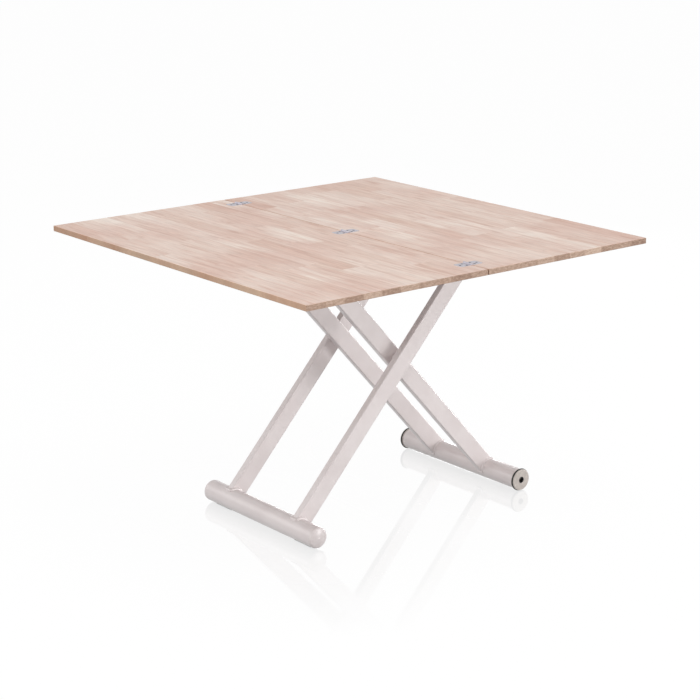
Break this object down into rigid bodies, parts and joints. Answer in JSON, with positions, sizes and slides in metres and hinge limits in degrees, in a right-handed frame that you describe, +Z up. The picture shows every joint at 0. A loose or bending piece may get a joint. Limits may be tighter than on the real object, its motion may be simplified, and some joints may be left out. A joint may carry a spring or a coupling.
{
  "type": "convertible coffee dining table",
  "caption": "Convertible coffee and dining table: a wooden top of hinged leaves that folds and swivels, over a scissor lift of crossed steel tube legs with a foot tube and wheels.",
  "frame": {"origin": "on the floor, under the middle of the open top", "axes": "+X from the folding leaf to the fixed leaf, +Y along the seam, +Z up"},
  "size_m": [1.1156, 1.1, 0.7567],
  "materials": {
    "wood": "washed, matt lacquered",
    "powder_coat": "satin powder coat",
    "cap_plastic": "moulded, slight gloss",
    "hinge_steel": "nickel plated, fine brushed",
    "zinc_steel": "bright zinc plated",
    "black_steel": "blackened",
    "spring_rod_steel": "ground and plated",
    "spring_black_paint": "gloss black paint",
    "wheel_plastic": "moulded, satin",
    "tyre_rubber": "matt",
    "nylon": "moulded, satin",
    "black_plastic": "moulded, satin"
  },
  "bodies": {
    "subframe": {"rail_front": "powder_coat", "rail_rear": "powder_coat", "rail_end_caps": "black_plastic", "cross_member_left": "powder_coat", "cross_member_mid": "powder_coat", "cross_member_right": "powder_coat", "glide_pads": "nylon", "swivel_bridge": "powder_coat", "swivel_slip_ring": "nylon", "outer_hinge_bolts": "zinc_steel", "outer_hinge_nuts": "zinc_steel", "spring_anchor_ears": "powder_coat", "spring_anchor_pin": "zinc_steel", "lever_ears": "powder_coat", "lever_pin": "zinc_steel"},
    "top": {"leaf_fixed": "wood", "hinge_plate_fixed_front": "hinge_steel", "hinge_plate_fixed_mid": "hinge_steel", "hinge_plate_fixed_rear": "hinge_steel", "hinge_screws_fixed": "black_steel", "hinge_pins": "hinge_steel", "swivel_disc": "powder_coat", "swivel_screws": "zinc_steel", "swivel_stud": "zinc_steel", "swivel_nut": "zinc_steel", "swivel_washer": "zinc_steel"},
    "flap": {"leaf_folding": "wood", "hinge_plate_folding_front": "hinge_steel", "hinge_plate_folding_mid": "hinge_steel", "hinge_plate_folding_rear": "hinge_steel", "hinge_screws_folding": "black_steel"},
    "outer_frame": {"outer_leg_front": "powder_coat", "outer_leg_rear": "powder_coat", "foot_tube": "powder_coat", "foot_caps": "cap_plastic", "foot_pads": "tyre_rubber", "outer_hinge_bushes": "nylon", "crossing_pins": "zinc_steel", "crossing_spacers": "powder_coat", "crossing_inserts": "zinc_steel", "outer_cross_tube": "powder_coat", "spring_collars": "powder_coat"},
    "inner_frame": {"inner_leg_front": "powder_coat", "inner_leg_rear": "powder_coat", "roller_tube": "powder_coat", "roller_tube_plugs": "nylon", "wheel_screws": "black_steel", "crossing_bushes": "nylon", "rail_roller_axles": "zinc_steel", "inner_cross_tube": "powder_coat"},
    "rail_roller_front": {"rail_roller_front": "nylon"},
    "rail_roller_rear": {"rail_roller_rear": "nylon"},
    "wheel_front": {"wheel_disc_front": "wheel_plastic", "wheel_tyre_front": "tyre_rubber"},
    "wheel_rear": {"wheel_disc_rear": "wheel_plastic", "wheel_tyre_rear": "tyre_rubber"},
    "gas_body": {"gas_spring_cylinder": "spring_black_paint"},
    "gas_rod": {"gas_spring_rod": "spring_rod_steel"},
    "lever": {"release_lever": "zinc_steel", "lever_grip": "black_plastic"}
  },
  "joints": [
    {"name": "lift", "type": "hinge", "parent": "subframe", "child": "outer_frame", "pos_m": [0.32849, 0, 0.69797], "axis": [0, 1, 0], "range_deg": [0, 28]},
    {"name": "scissor", "type": "hinge", "parent": "outer_frame", "child": "inner_frame", "pos_m": [0.076, 0, 0.42098], "axis": [0, 1, 0], "range_deg": [-56, 0]},
    {"name": "swivel", "type": "hinge", "parent": "subframe", "child": "top", "pos_m": [0.1274, -0.1519, 0.72997], "axis": [0, 0, 1], "range_deg": [0, 90]},
    {"name": "fold", "type": "hinge", "parent": "top", "child": "flap", "pos_m": [0, 0, 0.75347], "axis": [0, 1, 0], "range_deg": [0, 180]},
    {"name": "wheel_front_spin", "type": "hinge", "parent": "inner_frame", "child": "wheel_front", "pos_m": [0.43102, -0.23625, 0.0315], "axis": [0, 1, 0], "continuous": true},
    {"name": "wheel_rear_spin", "type": "hinge", "parent": "inner_frame", "child": "wheel_rear", "pos_m": [0.43102, 0.23625, 0.0315], "axis": [0, 1, 0], "continuous": true},
    {"name": "rail_roller_front_spin", "type": "hinge", "parent": "inner_frame", "child": "rail_roller_front", "pos_m": [-0.17649, -0.12045, 0.69797], "axis": [0, 1, 0], "continuous": true},
    {"name": "rail_roller_rear_spin", "type": "hinge", "parent": "inner_frame", "child": "rail_roller_rear", "pos_m": [-0.17649, 0.12045, 0.69797], "axis": [0, 1, 0], "continuous": true},
    {"name": "spring_swing", "type": "hinge", "parent": "subframe", "child": "gas_body", "pos_m": [0, 0, 0.69297], "axis": [0, 1, 0], "range_deg": [-8.25, 0]},
    {"name": "spring_slide", "type": "slide", "parent": "gas_body", "child": "gas_rod", "axis": [0.9528, 0, -0.3036], "range_m": [-0.0427, 0]},
    {"name": "lever_tilt", "type": "hinge", "parent": "subframe", "child": "lever", "pos_m": [0.32849, 0, 0.69997], "axis": [0, -1, 0], "range_deg": [0, 12], "stiffness_Nm_per_rad": 1.2, "springref_deg": -6.88}
  ],
  "couplings": [
    {"joint": "scissor", "follows": "lift", "ratio": -2},
    {"joint": "spring_swing", "follows": "lift", "ratio": -0.2946},
    {"joint": "spring_slide", "follows": "lift", "m_per_rad": -0.087315}
  ]
}
